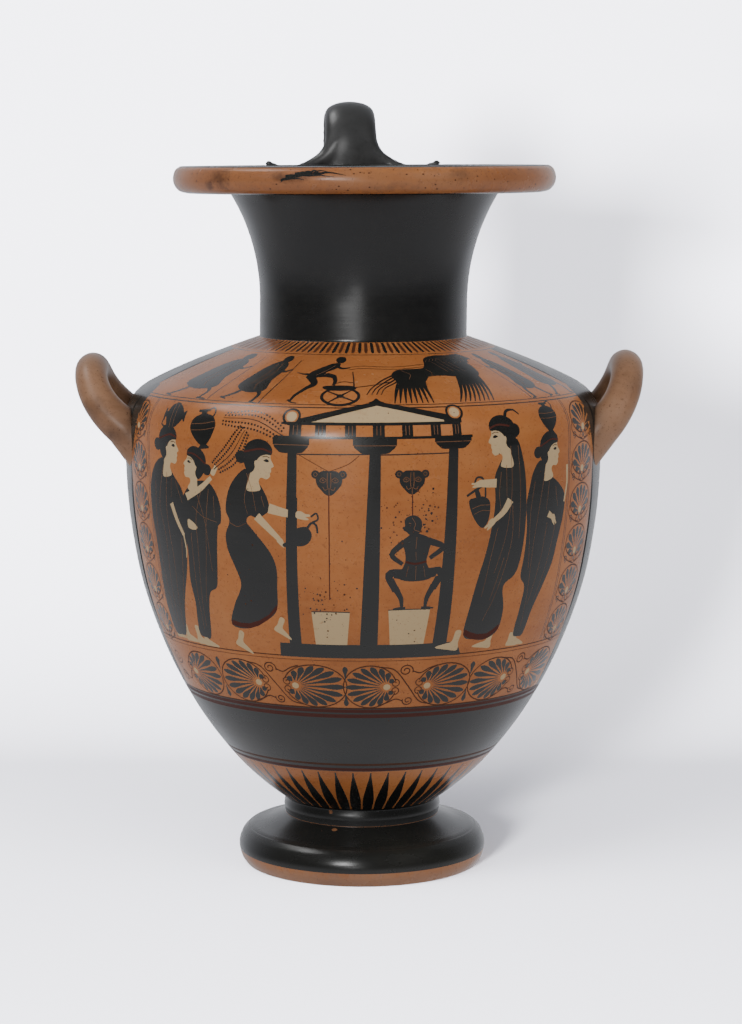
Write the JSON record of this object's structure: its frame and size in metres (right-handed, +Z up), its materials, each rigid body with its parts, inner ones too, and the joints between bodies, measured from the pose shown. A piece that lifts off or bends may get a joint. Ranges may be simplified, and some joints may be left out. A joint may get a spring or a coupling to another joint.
{
  "type": "hydria",
  "caption": "Black-figure water jar of fired clay with an ovoid body, flaring neck, overhanging lip, two side loops for lifting, a tall back handle for pouring and a round foot",
  "frame": {"origin": "middle of the underside of the foot, where the jar stands", "axes": "+Z up along the turning axis, -Y towards the painted picture, +X and -X through the two side handles, back handle on the +Y side"},
  "size_m": [0.3822, 0.3224, 0.5195],
  "materials": {
    "painted_clay": "orange clay under glossy black slip, with added white and dull purple-red"
  },
  "bodies": {
    "root": {"hydria": "painted_clay"}
  },
  "joints": []
}
